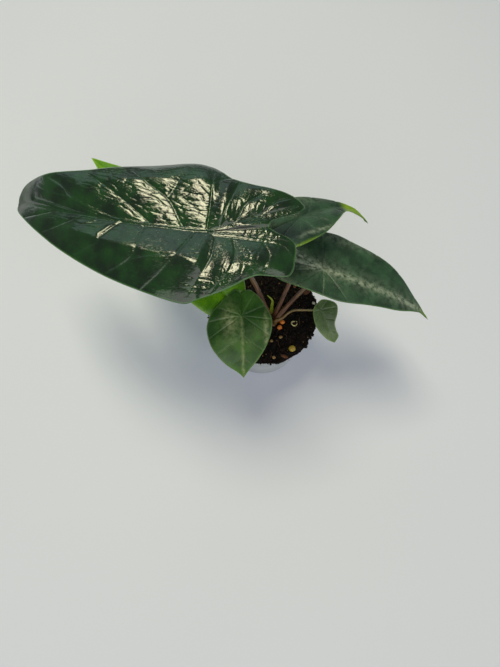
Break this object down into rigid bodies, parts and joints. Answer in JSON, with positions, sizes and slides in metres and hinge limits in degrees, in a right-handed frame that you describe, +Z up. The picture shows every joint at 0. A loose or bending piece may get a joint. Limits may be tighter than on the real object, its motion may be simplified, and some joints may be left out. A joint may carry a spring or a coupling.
{
  "type": "potted alocasia",
  "caption": "Young alocasia with arrow-shaped glossy leaves on thin stalks, growing from dark soil in a small pale grey pot.",
  "frame": {"origin": "middle of the underside of the pot's base, on the floor", "axes": "+Z up out of the pot; the large leaf points along -X; +Y is away from the small oval leaf"},
  "size_m": [0.1987, 0.1204, 0.1229],
  "materials": {
    "pot": "satin",
    "soil": "matte",
    "stalk": "satin",
    "stalk_tan": "satin",
    "leaf_dark": "gloss",
    "leaf_grey": "satin",
    "leaf_new": "satin",
    "leaf_mid": "satin",
    "shoot": "satin",
    "prill_orange": "satin",
    "prill_yellow": "satin",
    "grit": "matte",
    "perlite": "matte",
    "bark": "matte"
  },
  "bodies": {
    "root": {"pot": "pot", "soil": "soil", "neck": "stalk", "blade_large": "leaf_dark", "blade_upper_right": "leaf_grey", "blade_lower_right": "leaf_grey", "blade_new": "leaf_new", "blade_small_oval": "leaf_mid", "blade_tiny": "leaf_mid", "stalk_large": "stalk", "stalk_upper_right": "stalk", "stalk_lower_right": "stalk", "stalk_new": "stalk", "stalk_small_oval": "stalk", "stalk_tiny": "stalk_tan", "new_shoot": "shoot", "prill_orange_1": "prill_orange", "prill_orange_2": "prill_orange", "prill_yellow": "prill_yellow", "bead_coat": "prill_yellow", "grain_1": "grit", "grain_2": "grit", "grain_3": "grit", "grain_4": "perlite", "bark_chip_1": "bark", "bark_chip_2": "bark", "bark_chip_3": "bark"}
  },
  "joints": []
}
